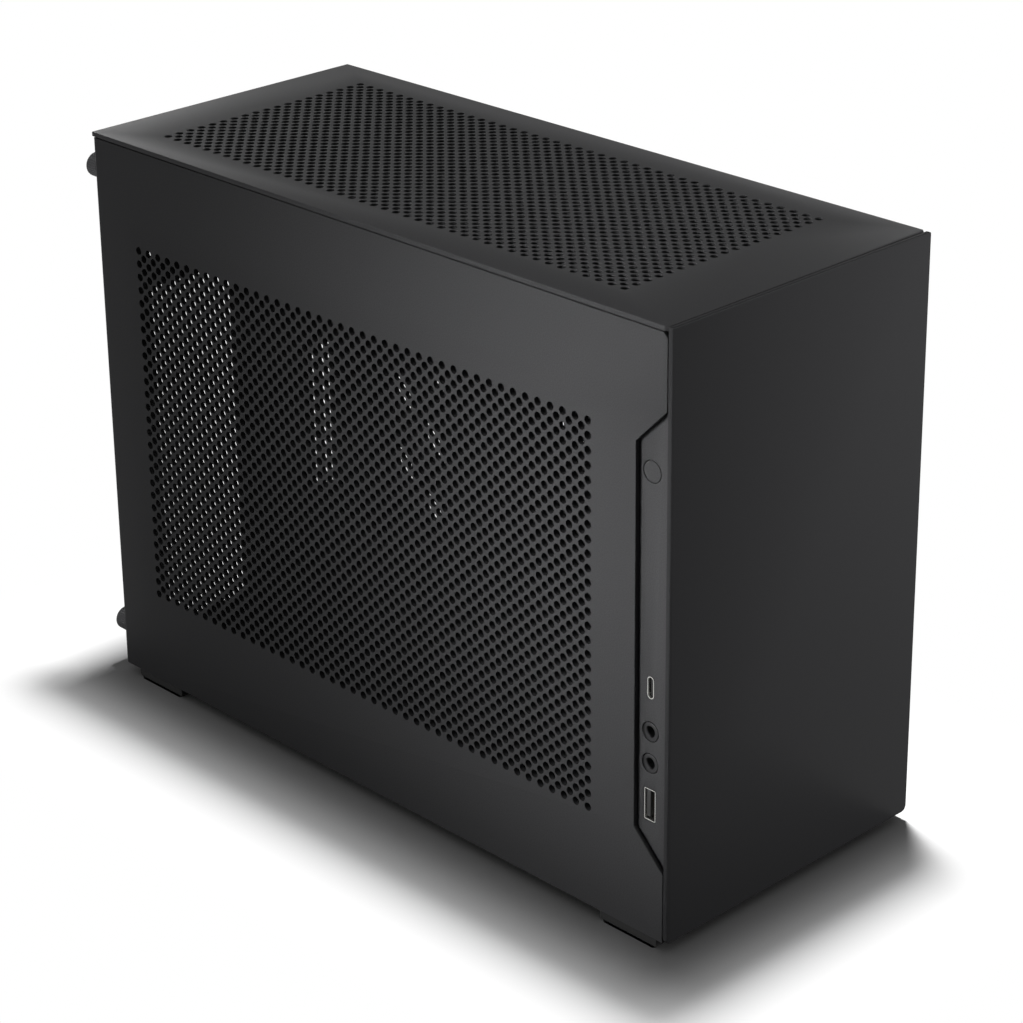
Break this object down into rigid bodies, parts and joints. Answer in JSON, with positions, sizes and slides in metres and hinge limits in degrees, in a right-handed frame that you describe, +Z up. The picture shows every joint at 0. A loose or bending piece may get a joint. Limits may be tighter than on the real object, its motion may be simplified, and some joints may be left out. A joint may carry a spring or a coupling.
{
  "type": "small form factor computer case",
  "caption": "Slim upright computer case for a 170 mm square motherboard, with perforated side and top covers, a plain front plate and a notch holding the power button and sockets",
  "frame": {"origin": "on the floor, under the middle of the whole case with its thumbscrews", "axes": "+Z up; the front plate faces -Y and the sockets in the rear panel face +Y; the cover with the notch is at -X"},
  "size_m": [0.14, 0.3344, 0.2485],
  "materials": {
    "powder_coat": "fine black powder coat, matt",
    "anodised": "black anodised, matt",
    "chassis_black": "black paint, matt",
    "black_plastic": "matt black",
    "rubber": "matt black",
    "black_screw": "blackened",
    "bright_steel": "plated, bright",
    "circuit_board": "black solder mask"
  },
  "bodies": {
    "chassis": {"ac_inlet": "black_plastic", "audio_jack_lower": "black_plastic", "audio_jack_upper": "black_plastic", "base_panel": "chassis_black", "button_housing": "black_plastic", "button_spring": "bright_steel", "foot_front_left": "rubber", "foot_front_right": "rubber", "foot_rear_left": "rubber", "foot_rear_right": "rubber", "foot_screw_front_left": "black_screw", "foot_screw_front_right": "black_screw", "foot_screw_rear_left": "black_screw", "foot_screw_rear_right": "black_screw", "front_frame": "chassis_black", "inlet_screw_left": "black_screw", "inlet_screw_right": "black_screw", "io_board": "circuit_board", "io_board_screw_lower": "black_screw", "io_board_screw_upper": "black_screw", "io_bracket": "chassis_black", "motherboard_tray": "chassis_black", "power_bracket_screw_lower": "black_screw", "power_bracket_screw_upper": "black_screw", "power_supply_bracket": "chassis_black", "power_switch": "black_plastic", "radiator_bracket": "chassis_black", "radiator_screw_front_left": "black_screw", "radiator_screw_front_right": "black_screw", "radiator_screw_rear_left": "black_screw", "radiator_screw_rear_right": "black_screw", "rear_panel": "chassis_black", "riser_board": "circuit_board", "riser_bracket": "chassis_black", "riser_socket": "black_plastic", "slot_cover_1": "chassis_black", "slot_cover_2": "chassis_black", "slot_cover_3": "chassis_black", "slot_frame": "chassis_black", "slot_screw_1": "black_screw", "slot_screw_2": "black_screw", "slot_screw_3": "black_screw", "switch_board": "circuit_board", "top_rail_left": "chassis_black", "top_rail_right": "chassis_black", "tray_screw_front": "black_screw", "tray_screw_rear": "black_screw", "type_a_socket": "bright_steel", "type_a_tongue": "black_plastic", "type_c_socket": "bright_steel", "type_c_tongue": "black_plastic"},
    "front_cover": {"front_panel": "anodised"},
    "top_cover": {"top_panel": "powder_coat"},
    "left_cover": {"left_side_panel": "powder_coat"},
    "right_cover": {"right_side_panel": "powder_coat"},
    "thumbscrew_left_lower_body": {"thumbscrew_left_lower": "black_screw"},
    "thumbscrew_left_upper_body": {"thumbscrew_left_upper": "black_screw"},
    "thumbscrew_right_lower_body": {"thumbscrew_right_lower": "black_screw"},
    "thumbscrew_right_upper_body": {"thumbscrew_right_upper": "black_screw"},
    "button": {"power_button": "anodised"}
  },
  "joints": [
    {"name": "front_cover_pull", "type": "slide", "parent": "chassis", "child": "front_cover", "axis": [0, -1, 0], "range_m": [0, 0.03]},
    {"name": "top_cover_lift", "type": "slide", "parent": "chassis", "child": "top_cover", "axis": [0, 0, 1], "range_m": [0, 0.03]},
    {"name": "left_cover_slide", "type": "slide", "parent": "chassis", "child": "left_cover", "axis": [0, 1, 0], "range_m": [0, 0.012]},
    {"name": "right_cover_slide", "type": "slide", "parent": "chassis", "child": "right_cover", "axis": [0, 1, 0], "range_m": [0, 0.012]},
    {"name": "thumbscrew_left_lower_turn", "type": "hinge", "parent": "left_cover", "child": "thumbscrew_left_lower_body", "pos_m": [-0.0634, 0.15885, 0.0215], "axis": [0, 1, 0], "continuous": true},
    {"name": "thumbscrew_left_upper_turn", "type": "hinge", "parent": "left_cover", "child": "thumbscrew_left_upper_body", "pos_m": [-0.0634, 0.15885, 0.2315], "axis": [0, 1, 0], "continuous": true},
    {"name": "thumbscrew_right_lower_turn", "type": "hinge", "parent": "right_cover", "child": "thumbscrew_right_lower_body", "pos_m": [0.0634, 0.15885, 0.0215], "axis": [0, 1, 0], "continuous": true},
    {"name": "thumbscrew_right_upper_turn", "type": "hinge", "parent": "right_cover", "child": "thumbscrew_right_upper_body", "pos_m": [0.0634, 0.15885, 0.2315], "axis": [0, 1, 0], "continuous": true},
    {"name": "power_button_press", "type": "slide", "parent": "chassis", "child": "button", "axis": [1, 0, 0], "range_m": [0, 0.0008], "stiffness_N_per_m": 600, "springref_m": -0.001, "deforming": ["button_spring"]}
  ]
}
